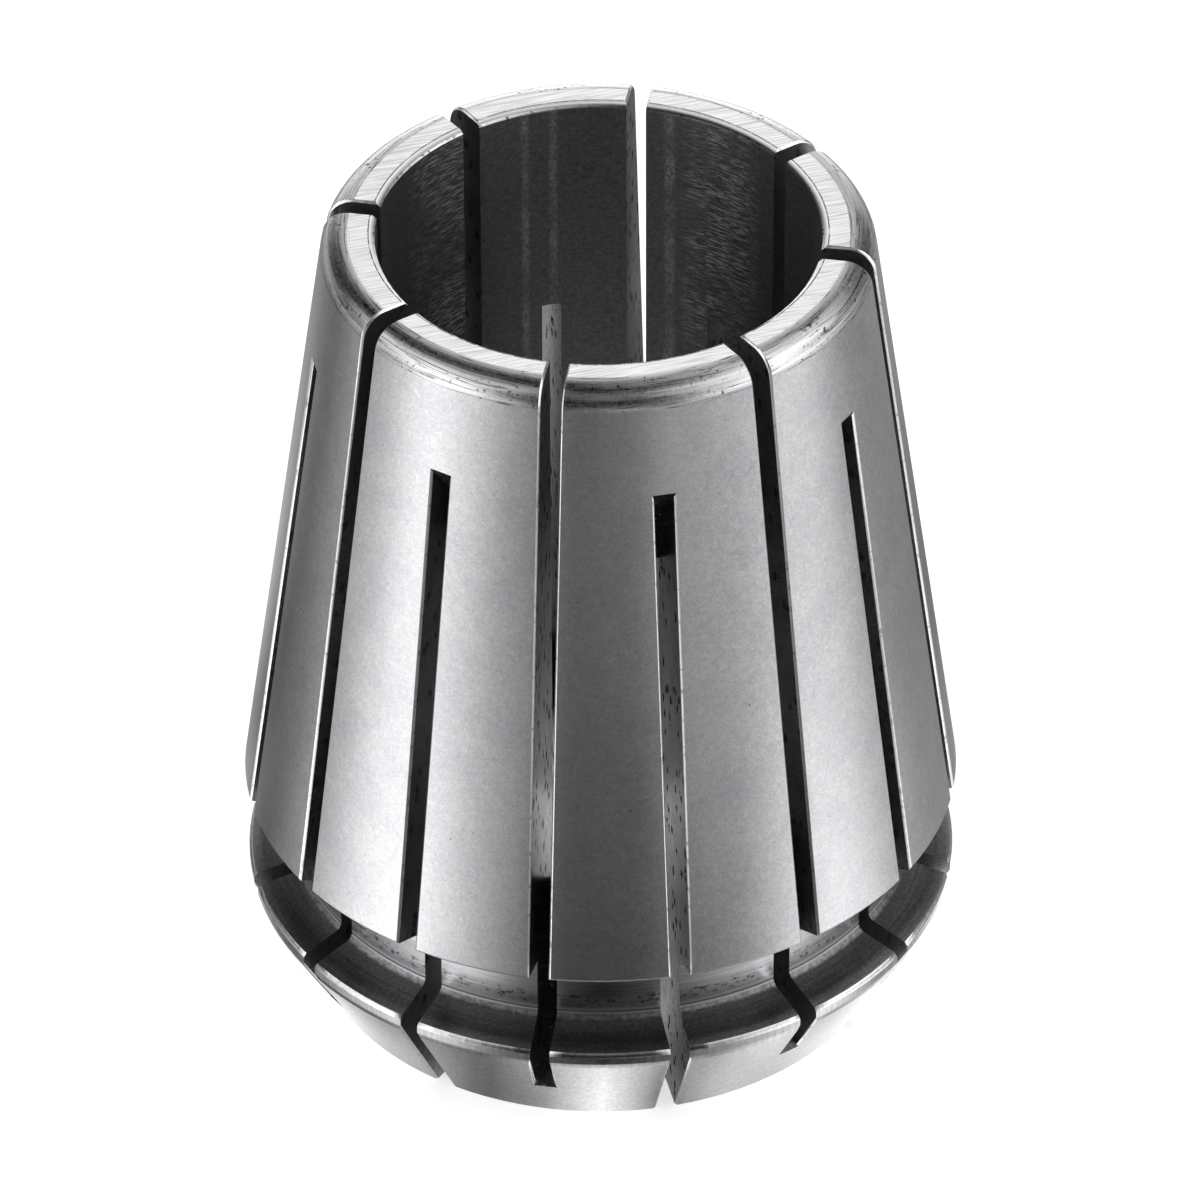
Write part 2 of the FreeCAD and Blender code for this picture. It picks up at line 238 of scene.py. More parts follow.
# Finish of each turned surface, of the slots and of the broken edges
MATERIAL_OF = {
    "taper": "ground_taper",
    "end_rounding": "turned_rounding",
    "end_face": "ground_end_face",
    "upper_mouth": "ground_end_face",
    "bore": "dark_bore",
    "lower_mouth": "dark_bore",
    "groove": "turned_groove",
    "root": "turned_groove",
    "flank": "turned_flank",
    "shoulder": "turned_flank",
    "crest": "ground_nose",
    "nose": "ground_nose",
    "nose_face": "ground_nose",
    "slot": "sawn_slot",
    "slot_end": "sawn_end",
    "edge": "broken_edge",
}


# Mesh of the finished collet

def welded(source):
    """Points and triangles of a mesh, with points in one place joined."""
    corners = np.empty((len(source.vertices), 3))
    source.vertices.foreach_get("co", corners.ravel())
    source.calc_loop_triangles()
    triangles = np.empty((len(source.loop_triangles), 3), int)
    source.loop_triangles.foreach_get("vertices", triangles.ravel())
    steps = np.round(corners / (WELD * MM)).astype(int)
    _, first, merged = np.unique(steps, axis=0, return_index=True, return_inverse=True)
    triangles = merged.ravel()[triangles]
    a, b, c = triangles.T
    return corners[first], triangles[(a != b) & (b != c) & (c != a)]


class Facets:
    """The mesh's triangles, measured round the axis in millimetres."""

    def __init__(self, points, triangles):
        self.ends = triangles
        self.corners = (points / MM)[triangles]
        a, b, c = (self.corners[:, i] for i in range(3))
        cross = np.cross(b - a, c - a)
        self.area = np.linalg.norm(cross, axis=1)
        self.normal = cross / np.maximum(self.area, TINY)[:, None]
        self.middle = (a + b + c) / 3
        self.height = self.middle[:, 2]
        self.radius = np.hypot(self.middle[:, 0], self.middle[:, 1])
        self.outward = self.middle[:, :2] / self.radius[:, None]
        around = np.stack([-self.outward[:, 1], self.outward[:, 0]], axis=1)
        self.normal_r = (self.normal[:, :2] * self.outward).sum(axis=1)
        self.normal_z = self.normal[:, 2]
        self.turn = np.abs((self.normal[:, :2] * around).sum(axis=1))


def find_owners(facets, surfaces):
    """Number of the turned surface that each triangle lies on, or -1."""
    owner = np.full(len(facets.ends), -1)
    best = np.full(len(facets.ends), math.cos(math.radians(SURFACE_TILT)))
    for index, surface in enumerate(surfaces.values()):
        distance, nr, nz = surface(facets.radius, facets.height)
        agreement = nr * facets.normal_r + nz * facets.normal_z
        fits = (np.abs(distance) < SURFACE_REACH) & (agreement > best)
        owner[fits] = index
        best[fits] = agreement[fits]
    return owner


def find_slots(facets, free):
    """Slot walls, and the arcs that slots end in, among the free triangles."""
    angle = np.degrees(np.arctan2(facets.middle[:, 1], facets.middle[:, 0]))
    off = np.radians((angle + SLOT_STEP / 2) % SLOT_STEP - SLOT_STEP / 2)
    across = np.abs(facets.radius * np.sin(off))
    wall = free & (facets.turn > WALL_TURN) & (np.abs(facets.normal_z) < WALL_RISE)
    end = free & ~wall & (across < SLOT_END_REACH) & (facets.turn < SLOT_END_TURN)
    return wall, end


def turned_normals(facets, owner, surfaces):
    """Normals at the triangles' corners: true ones on turned surfaces, else flat ones."""
    normals = np.repeat(facets.normal[:, None, :], 3, axis=1)
    for index, (name, surface) in enumerate(surfaces.items()):
        chosen = owner == index
        corners = facets.corners[chosen]
        radius = np.hypot(corners[..., 0], corners[..., 1])
        _, nr, nz = surface(radius, corners[..., 2])
        if name == "upper_mouth":
            # Worn round: its normals turn from the end face into the bore
            depth = (BORE_RADIUS + BORE_CHAMFER - radius) / BORE_CHAMFER
            tilt = np.radians(MOUTH_WEAR) * np.clip(depth, 0, 1)
            nr = -np.sin(tilt)
            nz = np.cos(tilt)
        normals[chosen, :, :2] = corners[..., :2] / radius[..., None] * nr[..., None]
        normals[chosen, :, 2] = nz
    return normals


def bend_slot_ends(normals, facets, end):
    """Gives the blind ends of the slots the normals of the saw's arc."""
    corners = facets.corners[end]
    outward = facets.outward[end][:, None, :]
    halfway = (SAW_HEIGHT_FROM_TOP + SAW_HEIGHT_FROM_NOSE) / 2
    centre = np.where(facets.height[end] < halfway, SAW_HEIGHT_FROM_TOP, SAW_HEIGHT_FROM_NOSE)
    reach = SAW_CENTRE - (corners[..., :2] * outward).sum(axis=-1)
    normals[end, :, :2] = outward * reach[..., None] / SAW_RADIUS
    normals[end, :, 2] = (centre[:, None] - corners[..., 2]) / SAW_RADIUS


def bend_edges(normals, facets, settled, count):
    """Turns a broken edge's normals from one neighbour's to the other's. Above the shoulder, and
    where it runs round the axis, it stays partly flat."""
    weight = facets.area ** AREA_POWER
    total = np.zeros((count, 3))
    for k in range(3):
        np.add.at(total, facets.ends[settled, k], normals[settled, k] * weight[settled, None])
    length = np.linalg.norm(total, axis=1)
    known = length > TINY
    total[known] /= length[known, None]
    flat = np.where((facets.height > SHOULDER) | (facets.turn < EDGE_TURN), EDGE_FLATNESS, 0.0)
    for k in range(3):
        shared = total[facets.ends[:, k]]
        agrees = (shared * facets.normal).sum(axis=1) > EDGE_AGREEMENT
        chosen = ~settled & known[facets.ends[:, k]] & agrees
        share = flat[chosen, None]
        normals[chosen, k] = normals[chosen, k] * share + (1 - share) * shared[chosen]


def finish_numbers(facets, owner, surfaces, wall, end, finishes):
    """Number of each triangle's finish. Broken edges that run round the axis belong to the ring
    that they break."""
    number = {name: finishes.index(finish) for name, finish in MATERIAL_OF.items()}
    chosen = np.full(len(facets.ends), number["edge"])
    for index, name in enumerate(surfaces):
        chosen[owner == index] = number[name]
    chosen[wall] = number["slot"]
    chosen[end] = number["slot_end"]
    ring = (owner < 0) & ~wall & ~end & (facets.turn < RING_TURN)
    chosen[ring & (facets.height < GROOVE_FOOT)] = number["nose"]
    chosen[ring & (np.abs(facets.height - SHOULDER) < SHOULDER_REACH)] = number["taper"]
    return chosen


def finished_mesh(node):
    """Copy of the node's mesh whose normals are those of the true turned surfaces, so that it
    shades as smooth steel, with one material for each finish."""
    points, triangles = welded(node.data)
    facets = Facets(points, triangles)
    surfaces = turned_surfaces()
    owner = find_owners(facets, surfaces)
    wall, end = find_slots(facets, owner < 0)
    normals = turned_normals(facets, owner, surfaces)
    bend_slot_ends(normals, facets, end)
    bend_edges(normals, facets, (owner >= 0) | wall | end, len(points))
    normals /= np.maximum(np.linalg.norm(normals, axis=2, keepdims=True), TINY)

    finishes = sorted(set(MATERIAL_OF.values()))
    numbers = finish_numbers(facets, owner, surfaces, wall, end, finishes)
    mesh = bpy.data.meshes.new("collet_finish")
    mesh.from_pydata(points.tolist(), [], triangles.tolist())
    mesh.polygons.foreach_set("use_smooth", [True] * len(mesh.polygons))
    for name in finishes:
        mesh.materials.append(MATERIALS[name]())
    mesh.polygons.foreach_set("material_index", numbers.tolist())
    mesh.update()
    mesh.normals_split_custom_set(normals.reshape(-1, 3).tolist())
    return mesh


# Materials

class Finish:
    """Node graph of one steel finish. Lengths in its patterns are in millimetres."""

    def __init__(self, name, roughness=0.3, anisotropy=0.0, metallic=1.0):
        self.colour, self.stain = COLOURS[name]
        self.material = bpy.data.materials.new(name)
        self.material.use_nodes = True
        self.nodes = self.material.node_tree.nodes
        self.links = self.material.node_tree.links
        self.shader = self.nodes["Principled BSDF"]
        self.shader.inputs["Metallic"].default_value = metallic
        self.shader.inputs["Roughness"].default_value = roughness
        if anisotropy:
            # Fine rings from grinding spread reflections along the axis
            tangent = self.nodes.new("ShaderNodeTangent")
            tangent.direction_type = "RADIAL"
            tangent.axis = "Z"
            self.links.new(tangent.outputs[0], self.shader.inputs["Tangent"])
            self.shader.inputs["Anisotropic"].default_value = anisotropy
            self.shader.inputs["Anisotropic Rotation"].default_value = 0.25
        place = self.nodes.new("ShaderNodeTexCoord").outputs["Object"]
        self.place = self.vector("SCALE", place, scale=1 / MM)
        split = self.nodes.new("ShaderNodeSeparateXYZ")
        self.links.new(self.place, split.inputs[0])
        self.x, self.y, self.z = split.outputs
        self.level_place = self.vector("MULTIPLY", self.place, (1, 1, 0))
        self.radius = self.vector("LENGTH", self.level_place)

    def put(self, socket, value):
        if isinstance(value, bpy.types.NodeSocket):
            self.links.new(value, socket)
        else:
            socket.default_value = value

    def vector(self, operation, first, second=None, scale=None):
        node = self.nodes.new("ShaderNodeVectorMath")
        node.operation = operation
        self.put(node.inputs[0], first)
        if second is not None:
            self.put(node.inputs[1], second)
        if scale is not None:
            self.put(node.inputs["Scale"], scale)
        return node.outputs["Value" if operation in ("LENGTH", "DOT_PRODUCT") else "Vector"]

    def math(self, operation, first, second=0.0):
        node = self.nodes.new("ShaderNodeMath")
        node.operation = operation
        self.put(node.inputs[0], first)
        self.put(node.inputs[1], second)
        return node.outputs[0]

    def fold(self, operation, values):
        """All the values, joined one after the other by the same operation."""
        total = values[0]
        for value in values[1:]:
            total = self.math(operation, total, value)
        return total

    def product(self, *values):
        return self.fold("MULTIPLY", values)

    def sum(self, *values):
        return self.fold("ADD", values)

    def most(self, *values):
        return self.fold("MAXIMUM", values)

    def point(self, x, y, z):
        node = self.nodes.new("ShaderNodeCombineXYZ")
        for socket, value in zip(node.inputs, (x, y, z)):
            self.put(socket, value)
        return node.outputs[0]

    def stretched(self, rise):
        """The place, with heights times this."""
        return self.vector("MULTIPLY", self.place, (1, 1, rise))

    def along(self, bearing):
        """Distance from the axis in the direction of a bearing."""
        turn = math.radians(bearing)
        return self.sum(self.product(self.x, math.cos(turn)), self.product(self.y, math.sin(turn)))

    def beside(self, bearing):
        """Distance to the left of the plane through the axis at a bearing."""
        turn = math.radians(bearing)
        return self.math("SUBTRACT", self.product(self.y, math.cos(turn)),
                         self.product(self.x, math.sin(turn)))

    def noise(self, vector, scale, detail=2.0, roughness=0.5):
        node = self.nodes.new("ShaderNodeTexNoise")
        self.put(node.inputs["Vector"], vector)
        node.inputs["Scale"].default_value = scale
        node.inputs["Detail"].default_value = detail
        node.inputs["Roughness"].default_value = roughness
        return node.outputs[0]

    def cells(self, vector, scale):
        """Distance from the nearest of randomly strewn points, in their mean spacing."""
        node = self.nodes.new("ShaderNodeTexVoronoi")
        self.put(node.inputs["Vector"], vector)
        node.inputs["Scale"].default_value = scale
        return node.outputs["Distance"]

    def rings(self, across, lines, around, detail=2.0):
        """Turned rings: noise that changes fast across them and slowly round the axis."""
        place = self.point(self.product(self.x, around), self.product(self.y, around),
                           self.product(across, lines))
        return self.noise(place, 1, detail)

    def remap(self, value, low, high, first, last):
        """Clamped straight ramp from first at low to last at high."""
        node = self.nodes.new("ShaderNodeMapRange")
        self.put(node.inputs["Value"], value)
        ends = {"From Min": low, "From Max": high, "To Min": first, "To Max": last}
        for name, number in ends.items():
            node.inputs[name].default_value = number
        return node.outputs[0]

    def vary(self, noise, spread, reach=0.2):
        """Factor round 1 that follows a noise, this much up and down. The noise is cut off at
        this reach from its middle."""
        return self.remap(noise, 0.5 - reach, 0.5 + reach, 1 - spread, 1 + spread)

    def band(self, value, centre, half_width, inside=1.0, outside=0.0):
        """One number within this distance of the centre, with a soft side, and another beyond."""
        away = self.math("ABSOLUTE", self.math("SUBTRACT", value, centre))
        return self.remap(away, half_width * 0.5, half_width * 1.2, inside, outside)

    def sector(self, bearing, half_width):
        """One in a sector round this bearing, fading to nothing at its sides."""
        heading = self.vector("NORMALIZE", self.level_place)
        turn = math.radians(bearing)
        along = self.vector("DOT_PRODUCT", heading, (math.cos(turn), math.sin(turn), 0))
        inner, outer = (math.cos(math.radians(half_width * part)) for part in (0.4, 1.3))
        return self.remap(along, outer, inner, 0, 1)

    def tint(self, level, amount=0.0):
        """Base colour times a level, with the stain laid in by amount."""
        base = self.nodes.new("ShaderNodeMix")
        base.data_type = "RGBA"
        sockets = {socket.identifier: socket for socket in base.inputs}
        self.put(sockets["Factor_Float"], amount)
        sockets["A_Color"].default_value = (*self.colour, 1)
        sockets["B_Color"].default_value = (*(self.stain or self.colour), 1)
        result = next(socket for socket in base.outputs if socket.identifier == "Result_Color")
        scaled = self.vector("SCALE", result, scale=level)
        self.links.new(scaled, self.shader.inputs["Base Color"])

    def edge_tint(self, level):
        """Darkens steel that is seen at a glancing angle too."""
        self.links.new(level, self.shader.inputs["Specular Tint"])

    def bump(self, height, depth):
        """Relief of this depth in millimetres."""
        node = self.nodes.new("ShaderNodeBump")
        node.inputs["Strength"].default_value = 1
        node.inputs["Distance"].default_value = depth * MM
        self.links.new(height, node.inputs["Height"])
        self.links.new(node.outputs[0], self.shader.inputs["Normal"])

    def roughness(self, value):
        self.links.new(value, self.shader.inputs["Roughness"])


def ground_taper():
    """Satin cylindrical grinding: fine mottling, soft clouds, and a few specks, pores and
    slanted hairlines."""
    finish = Finish("ground_taper", anisotropy=0.55)
    fine = finish.noise(finish.place, 10, 2, 0.7)
    mottle = finish.noise(finish.place, 3.2, 3, 0.6)
    clouds = finish.noise(finish.place, 0.45, 2)
    rings = finish.rings(finish.z, 9, 1.2, 2)
    specks = finish.remap(finish.noise(finish.place, 7, 1), 0.74, 0.80, 0, 0.3)
    pores = finish.remap(finish.noise(finish.place, 3.7, 1), 0.18, 0.22, 0.55, 1)
    slant = finish.point(finish.product(finish.z, 0.7), finish.product(finish.z, -0.7), 0)
    slanted = finish.vector("MULTIPLY", finish.vector("ADD", finish.place, slant), (1, 1, 0.3))
    hairs = finish.product(
        finish.band(finish.noise(slanted, 1.3, 1), 0.5, 0.007, 0.15, 0),
        finish.remap(finish.noise(finish.place, 0.8, 1), 0.58, 0.64, 0, 1))
    level = finish.product(
        finish.vary(fine, 0.14), finish.vary(mottle, 0.07), finish.vary(clouds, 0.05),
        finish.vary(rings, 0.02), pores)
    level = finish.sum(level, finish.sum(specks, hairs))
    finish.tint(level, finish.remap(clouds, 0.35, 0.65, 0, 1))
    finish.roughness(finish.remap(mottle, 0.25, 0.75, 0.31, 0.37))
    finish.bump(finish.sum(fine, mottle), 0.0012)
    return finish.material


def turned_rounding():
    """Rounding of the narrow end: fine turned lines, darker scratches along them, and pits."""
    finish = Finish("turned_rounding", anisotropy=0.2)
    arc_place = finish.math("SUBTRACT", finish.radius, finish.z)
    rings = finish.rings(arc_place, 9, 0.25, 3)
    threads = finish.product(
        finish.band(finish.rings(arc_place, 5, 0.12, 1), 0.5, 0.022, 0.35, 1),
        finish.band(finish.rings(arc_place, 7, 0.2, 1), 0.45, 0.02, 0.55, 1))
    lumps = finish.noise(finish.place, 6, 3, 0.6)
    clusters = finish.remap(finish.noise(finish.place, 0.45, 1), 0.45, 0.6, 0, 1)
    pits = finish.remap(finish.noise(finish.place, 4.5, 2), 0.34, 0.38, 1, 0)
    glints = finish.remap(finish.noise(finish.place, 8, 1), 0.68, 0.76, 0, 0.4)
    level = finish.product(
        finish.vary(rings, 0.14), finish.vary(lumps, 0.05), threads,
        finish.remap(finish.product(clusters, pits), 0, 1, 1, 0.2))
    finish.tint(finish.sum(level, glints))
    finish.roughness(finish.remap(lumps, 0.3, 0.7, 0.24, 0.34))
    finish.bump(finish.sum(rings, finish.product(lumps, 0.5)), 0.004)
    return finish.material


def ground_end_face():
    """Flat end: fine straight grinding lines in one direction, with thin dark rings where the
    flat meets the mouth of the bore and the rounding."""
    finish = Finish("ground_end_face", 0.24)
    along = finish.along(GRINDING_LAY)
    across = finish.beside(GRINDING_LAY)
    fine_place = finish.point(finish.product(along, 0.45), finish.product(across, 9), 0)
    coarse_place = finish.point(finish.product(along, 0.2), finish.product(across, 4), 0)
    fine = finish.noise(fine_place, 1, 2, 0.6)
    coarse = finish.noise(coarse_place, 1, 1)
    broken = finish.noise(finish.place, 1.6, 3, 0.7)
    grit = finish.noise(finish.place, 4, 3, 0.7)
    mouth = finish.product(
        finish.band(finish.radius, *MOUTH_LINE), finish.remap(broken, 0.35, 0.5, 0.3, 1))
    dashes = finish.product(
        finish.band(finish.radius, *MOUTH_DASHES), finish.remap(grit, 0.55, 0.62, 0, 0.9))
    rim = finish.product(
        finish.band(finish.radius, *RIM_LINE), finish.remap(broken, 0.5, 0.62, 0, 0.25))
    flat = finish.remap(finish.radius, *END_FACE_START, 0, 1)
    grain = finish.product(
        finish.remap(fine, 0.36, 0.64, 0.82, 1.14), finish.remap(coarse, 0.3, 0.45, 0.76, 1))
    smooth = finish.sum(finish.product(finish.math("SUBTRACT", grain, 1.0), flat), 1.0)
    dark = finish.most(mouth, finish.most(dashes, rim))
    level = finish.product(smooth, finish.remap(dark, 0, 1, 1, 0.12))
    stains = finish.remap(finish.noise(finish.place, 1.1, 3), 0.62, 0.72, 0, 0.35)
    finish.tint(level, stains)
    finish.bump(finish.product(fine, flat), 0.003)
    return finish.material


def dark_bore():
    """Bore wall: a dark base colour that is painted shade, short turned scratches that are
    brightened in two patches as painted glints, and pale streaks along it that are painted
    reflections.
    """
    finish = Finish("dark_bore", 0.4, 0.3)
    scratches = finish.rings(finish.z, 17, 1.8, 2)
    # Painted glints: the scratches are brightened in two sectors, in patches, and fade lower down
    clear_of_slot = finish.remap(finish.beside(SCRATCH_GLINTS_END), *SCRATCH_GLINTS_GAP, 0, 1)
    left = finish.product(finish.sector(*GLINTING_SCRATCHES_LEFT), clear_of_slot)
    patches = finish.most(finish.sector(*GLINTING_SCRATCHES_RIGHT), left)
    worn = finish.remap(finish.noise(finish.place, 0.3, 1), 0.40, 0.55, 0.35, 1)
    height = finish.remap(finish.z, *SCRATCH_GLINTS_FADE, 0.15, 1)
    marks = finish.product(
        finish.remap(scratches, 0.48, 0.70, 0, 3.7), patches, worn, height)
    # Painted reflections: pale streaks at fixed bearings down the bore, broken up by noise and
    # fading lower down
    left_streaks = finish.sum(*[finish.sector(*streak) for streak in PAINTED_REFLECTIONS_LEFT])
    streak = finish.sum(finish.sector(*PAINTED_REFLECTION_RIGHT), finish.product(left_streaks, 0.85))
    broken = finish.noise(finish.stretched(0.6), 7, 4, 0.75)
    streaks = finish.product(
        streak, streak, finish.remap(broken, 0.38, 0.66, 0.1, 2.1),
        finish.remap(finish.noise(finish.place, 0.5, 1), 0.35, 0.6, 0.3, 1),
        finish.remap(finish.z, *PAINTED_REFLECTIONS_FADE, 0.3, 1))
    grain = finish.noise(finish.place, 6, 3, 0.7)
    level = finish.product(finish.vary(grain, 0.3), finish.vary(scratches, 0.13))
    finish.tint(finish.sum(level, finish.sum(marks, streaks)))
    finish.bump(scratches, 0.004)
    return finish.material


def turned_groove():
    """Floor and root of the groove: fine rings, a band of dark specks and a dark line. The root
    below the line is dull and gritty."""
    finish = Finish("turned_groove", anisotropy=0.3)
    rings = finish.rings(finish.z, 9, 0.2, 3)
    long_place = finish.vector("MULTIPLY", finish.place, (0.6, 0.6, 1))
    specks = finish.remap(finish.noise(long_place, 5, 4, 0.65), 0.46, 0.38, 0, 1)
    upper = finish.product(finish.band(finish.z, *SPECKS_BAND), specks)
    grit = finish.remap(finish.noise(finish.place, 4, 3, 0.7), 0.4, 0.6, 0.9, 0.6)
    below = finish.remap(finish.z, *ROOT_GRIT_FADE, 1, 0)
    line_place = finish.band(finish.z, *ROOT_LINE, 0.85, 0)
    root = finish.most(line_place, finish.product(below, grit))
    dark = finish.most(upper, root)
    finish.tint(finish.product(finish.vary(rings, 0.18), finish.remap(dark, 0, 1, 1, 0.2)))
    finish.roughness(finish.remap(finish.z, *ROOT_DULL_FADE, 0.48, 0.25))
    finish.bump(rings, 0.004)
    return finish.material


def turned_flank():
    """Sides of the groove: smooth, with a dark base colour and a darker sector that are painted
    shade, a paler foot that is a painted reflection, duller at the foot and brownish at the crest.
    """
    finish = Finish("turned_flank", anisotropy=0.3)
    rings = finish.rings(finish.radius, 7, 0.2, 3)
    grain = finish.vary(finish.noise(finish.place, 7, 4, 0.75), 0.3, 0.15)
    # Painted reflection: the foot of the flank is lifted paler, over its grain
    foot = finish.product(finish.remap(finish.radius, *FOOT_PAINTED_LIGHT_FADE, 1.15, 1), grain)
    shade = finish.remap(finish.sector(*FLANK_SHADE), 0, 1, 1, 0.72)
    stain = finish.remap(finish.radius, *CREST_STAIN_FADE, 0, 1)
    finish.tint(finish.product(finish.vary(rings, 0.22), foot, shade), stain)
    finish.roughness(finish.remap(finish.radius, *FOOT_DULL_FADE, 0.5, 0.30))
    finish.bump(rings, 0.003)
    return finish.material


def ground_nose():
    """Nose taper and crest: smoother than the long taper, faintly scored down the slope."""
    finish = Finish("ground_nose")
    scores = finish.noise(finish.stretched(0.15), 6, 3, 0.6)
    mottle = finish.noise(finish.place, 3.5, 3, 0.6)
    finish.tint(finish.product(finish.vary(scores, 0.12), finish.vary(mottle, 0.07)))
    finish.roughness(finish.remap(mottle, 0.25, 0.75, 0.20, 0.28))
    finish.bump(finish.sum(scores, mottle), 0.0015)
    return finish.material


def sawn_slot():
    """Slot walls: dull grey with black pits, fine scores along the slot and dark stains, with
    painted shade in two sectors and towards the foot and the top of the slots.
    """
    finish = Finish("sawn_slot", 0.25, metallic=SLOT_METAL)
    ragged = finish.product(
        finish.math("SUBTRACT", finish.noise(finish.place, 7, 2), 0.5), 0.5)
    spots = finish.sum(finish.cells(finish.stretched(0.6), 1.6), ragged)
    specks = finish.noise(finish.place, 6, 1)
    pits = finish.product(
        finish.remap(spots, 0.21, 0.27, 0.1, 1), finish.remap(specks, 0.27, 0.31, 0.3, 1))
    shallow = finish.remap(pits, 0, 1, 0.5, 1)
    scores = finish.noise(finish.stretched(0.05), 11, 2, 0.6)
    grain = finish.noise(finish.place, 9, 3, 0.7)
    # Painted shade: the slot walls are darker in two sectors
    stains = [finish.remap(finish.sector(*place), 0, 1, 1, level) for place, level in SLOT_PAINTED_SHADE]
    # Painted shade: darker towards the foot and the top of the slots
    depth = finish.product(
        finish.remap(finish.z, *SLOT_FOOT_SHADE_FADE, 0.75, 1),
        finish.remap(finish.z, *SLOT_TOP_SHADE_FADE, 1, 0.68), *stains)
    level = finish.product(
        finish.vary(grain, 0.22), finish.remap(scores, 0.3, 0.42, 0.72, 1), shallow, depth)
    finish.tint(level, finish.remap(finish.noise(finish.place, 0.7, 2), 0.45, 0.65, 0, 0.8))
    finish.edge_tint(finish.product(level, pits))
    finish.bump(finish.product(grain, pits), 0.008)
    return finish.material


def sawn_end():
    """Blind ends of the slots: a nearly black base colour that is painted shade, scored along the
    saw's path.
    """
    finish = Finish("sawn_end", 0.35, metallic=SLOT_METAL)
    scores = finish.noise(finish.stretched(0.15), 7, 3, 0.7)
    nicks = finish.remap(finish.noise(finish.place, 3, 3, 0.7), 0.62, 0.67, 0, 6)
    level = finish.sum(finish.vary(scores, 0.5), nicks)
    finish.tint(level)
    finish.edge_tint(finish.product(level, 0.3))
    finish.bump(scores, 0.01)
    return finish.material


def broken_edge():
    """Edges of the slots: a near-white base colour that is a painted highlight, slightly ragged.
    """
    finish = Finish("broken_edge", 0.34)
    nicks = finish.noise(finish.place, 2.2, 3, 0.6)
    finish.tint(finish.remap(nicks, 0.34, 0.42, 0.6, 1.03))
    finish.bump(finish.noise(finish.place, 5, 2), 0.01)
    return finish.material


MATERIALS = {make.__name__: make for make in (
    ground_taper, turned_rounding, ground_end_face, dark_bore, turned_groove, turned_flank,
    ground_nose, sawn_slot, sawn_end, broken_edge)}


# Camera, floor and lights

def view_axes(azimuth, elevation):
    """Right, up and forward of a camera on this bearing that looks at the axis."""
    a = math.radians(azimuth)
    e = math.radians(elevation)
    right = Vector((math.cos(a), math.sin(a), 0))
    up = Vector((-math.sin(a) * math.sin(e), math.cos(a) * math.sin(e), math.cos(e)))
    forward = Vector((-math.sin(a) * math.cos(e), math.cos(a) * math.cos(e), -math.sin(e)))
    return right, up, forward


def place_camera():
    right, up, forward = view_axes(CAMERA_AZIMUTH, CAMERA_ELEVATION)
    roll = math.radians(CAMERA_ROLL)
    across = right * math.cos(roll) + up * math.sin(roll)
    upward = up * math.cos(roll) - right * math.sin(roll)
    data = bpy.data.cameras.new("camera")
    data.sensor_width = SENSOR
    data.lens = CAMERA_LENS
    data.clip_start = CAMERA_NEAR * MM
    data.clip_end = CAMERA_FAR * MM
    camera = bpy.data.objects.new("camera", data)
    stand = (Vector(CAMERA_TARGET) - forward * CAMERA_DISTANCE) * MM
    axes = Matrix((across, upward, -forward)).transposed()
    camera.matrix_world = Matrix.Translation(stand) @ axes.to_4x4()
    bpy.context.scene.collection.objects.link(camera)
    bpy.context.scene.camera = camera


def spot(azimuth, radius, height):
    """Place in millimetres; azimuth runs from the camera's side to its right."""
    bearing = math.radians(CAMERA_AZIMUTH + azimuth)
    return (math.sin(bearing) * radius, -math.cos(bearing) * radius, height)


def plain(name, colour):
    """Matt paint."""
    material = bpy.data.materials.new(name)
    material.use_nodes = True
    shader = material.node_tree.nodes["Principled BSDF"]
    shader.inputs["Base Color"].default_value = (*colour, 1)
    shader.inputs["Roughness"].default_value = 1
    shader.inputs["Specular IOR Level"].default_value = 0
    return material


def glow(name):
    """Light whose strength is the mesh's own level at each place."""
    material = bpy.data.materials.new(name)
    material.use_nodes = True
    nodes = material.node_tree.nodes
    nodes.clear()
    level = nodes.new("ShaderNodeAttribute")
    level.attribute_name = "level"
    shader = nodes.new("ShaderNodeEmission")
    output = nodes.new("ShaderNodeOutputMaterial")
    material.node_tree.links.new(level.outputs["Fac"], shader.inputs["Strength"])
    material.node_tree.links.new(shader.outputs[0], output.inputs[0])
    return material


def stage_strip(name, rows, material):
    """Stage piece spanned by rows of points in millimetres."""
    count = len(rows[0])
    points = [Vector(point) * MM for row in rows for point in row]
    faces = []
    for row in range(len(rows) - 1):
        for i in range(count - 1):
            start = row * count + i
            faces.append((start, start + 1, start + count + 1, start + count))
    mesh = bpy.data.meshes.new(name)
    mesh.from_pydata(points, [], faces)
    mesh.materials.append(material)
    piece = bpy.data.objects.new(name, mesh)
    bpy.context.scene.collection.objects.link(piece)
    return piece


def light_tent():
    """It stays out of the picture and off the floor: only the metal shows it."""
    sweep = np.linspace(-180, 180, TENT_STEPS + 1)
    azimuths = TENT_AZIMUTHS + (TENT_AZIMUTHS[0] + 360,)
    points = []
    levels = []
    for kind, place, brightness in TENT_ROWS:
        radius = place
        height = TENT_LIFT
        if kind == "dome":
            radius = TENT_REACH * math.cos(math.radians(place))
            height = TENT_REACH * math.sin(math.radians(place))
        points.append([spot(azimuth, radius, height) for azimuth in sweep])
        levels.append(np.interp(sweep, azimuths, brightness + (brightness[0],)))
    tent = stage_strip("light_tent", points, glow("tent_glow"))
    level = tent.data.attributes.new("level", "FLOAT", "POINT")
    level.data.foreach_set("value", np.concatenate(levels))
    tent.visible_camera = False
    tent.visible_diffuse = False
    tent.visible_shadow = False


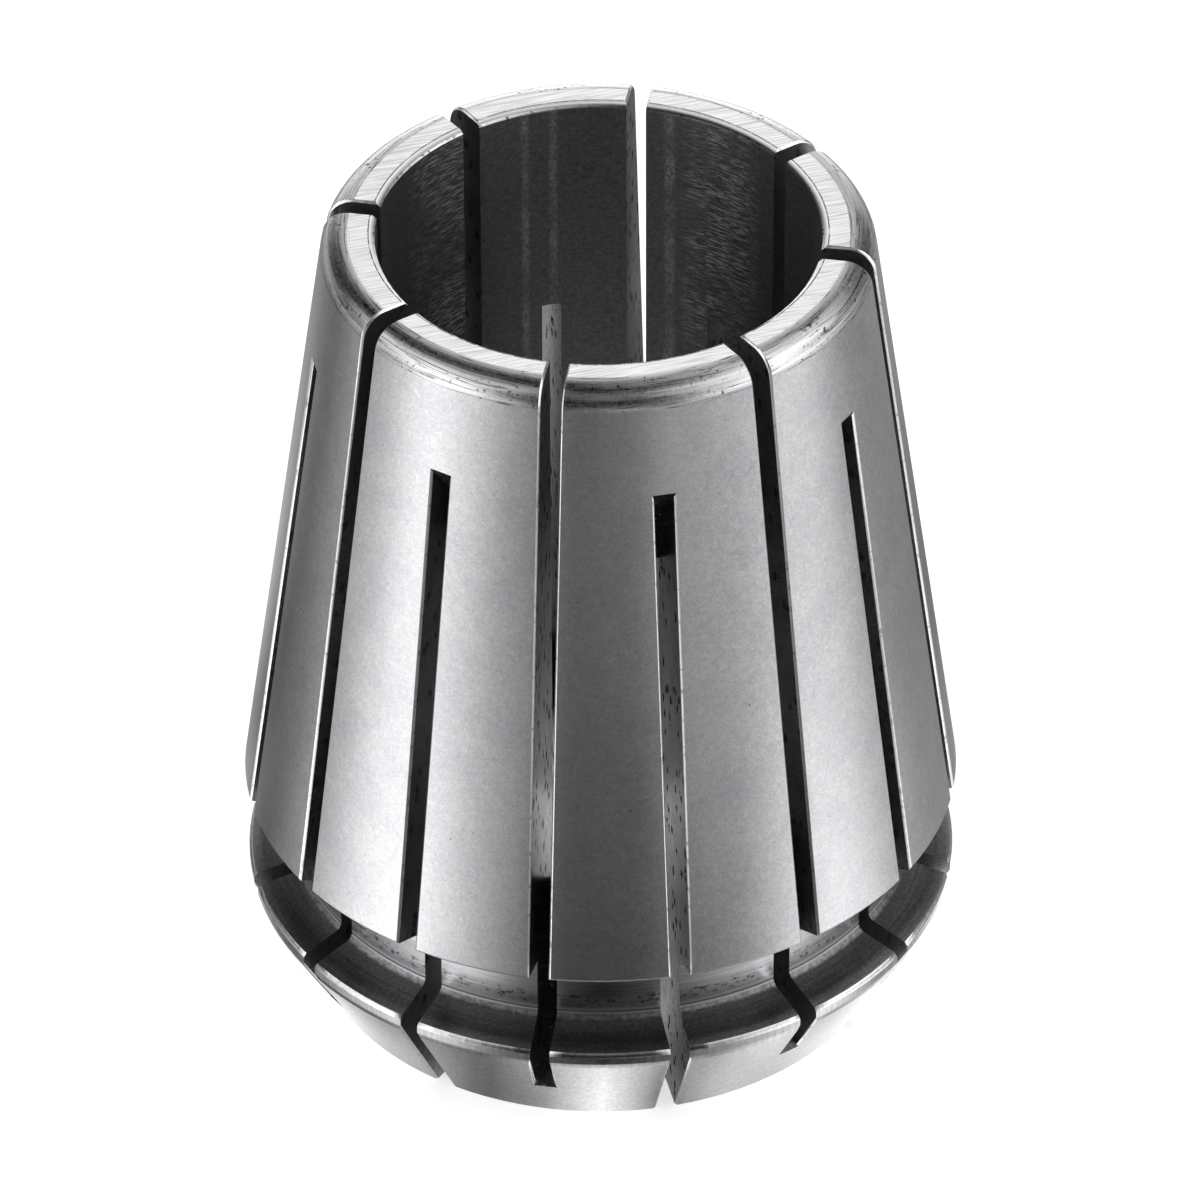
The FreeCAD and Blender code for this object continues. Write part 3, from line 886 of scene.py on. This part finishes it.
def seen_or_mirrored(tree):
    """One for camera, glossy and transmission rays."""
    path = tree.nodes.new("ShaderNodeLightPath")
    seen = path.outputs["Is Camera Ray"]
    for ray in ("Is Glossy Ray", "Is Transmission Ray"):
        either = tree.nodes.new("ShaderNodeMath")
        either.operation = "MAXIMUM"
        tree.links.new(seen, either.inputs[0])
        tree.links.new(path.outputs[ray], either.inputs[1])
        seen = either.outputs[0]
    return seen


def white_world(level):
    """White to the camera and in reflections; a plain level of soft light for the rest."""
    world = bpy.data.worlds.new("studio")
    world.use_nodes = True
    tree = world.node_tree
    tree.nodes.clear()
    mix = tree.nodes.new("ShaderNodeMixShader")
    tree.links.new(seen_or_mirrored(tree), mix.inputs[0])
    for socket, strength in ((mix.inputs[1], level), (mix.inputs[2], 1.0)):
        background = tree.nodes.new("ShaderNodeBackground")
        background.inputs["Color"].default_value = (1, 1, 1, 1)
        background.inputs["Strength"].default_value = strength
        tree.links.new(background.outputs[0], socket)
    output = tree.nodes.new("ShaderNodeOutputWorld")
    tree.links.new(mix.outputs[0], output.inputs[0])
    bpy.context.scene.world = world


def white_floor(colour, lift):
    """Pale floor that is lifted to white in the picture and in reflections, and keeps the
    collet's shadow."""
    material = plain("floor_white", colour)
    tree = material.node_tree
    strength = tree.nodes.new("ShaderNodeMath")
    strength.operation = "MULTIPLY"
    strength.inputs[1].default_value = lift
    tree.links.new(seen_or_mirrored(tree), strength.inputs[0])
    shader = tree.nodes["Principled BSDF"]
    shader.inputs["Emission Color"].default_value = (1, 1, 1, 1)
    tree.links.new(strength.outputs[0], shader.inputs["Emission Strength"])
    ends = (-FLOOR_HALF, FLOOR_HALF)
    stage_strip("floor", [[(x, y, 0) for x in ends] for y in ends], material)


place_camera()
collet = bpy.data.objects.new("collet_finish", finished_mesh(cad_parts["collet"]))
bpy.context.scene.collection.objects.link(collet)
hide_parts("collet")
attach(collet, "root")

white_floor(FLOOR_COLOUR, FLOOR_LIFT)
light_tent()
white_world(SOFT_LIGHT)
bpy.context.scene.view_settings.view_transform = "Standard"
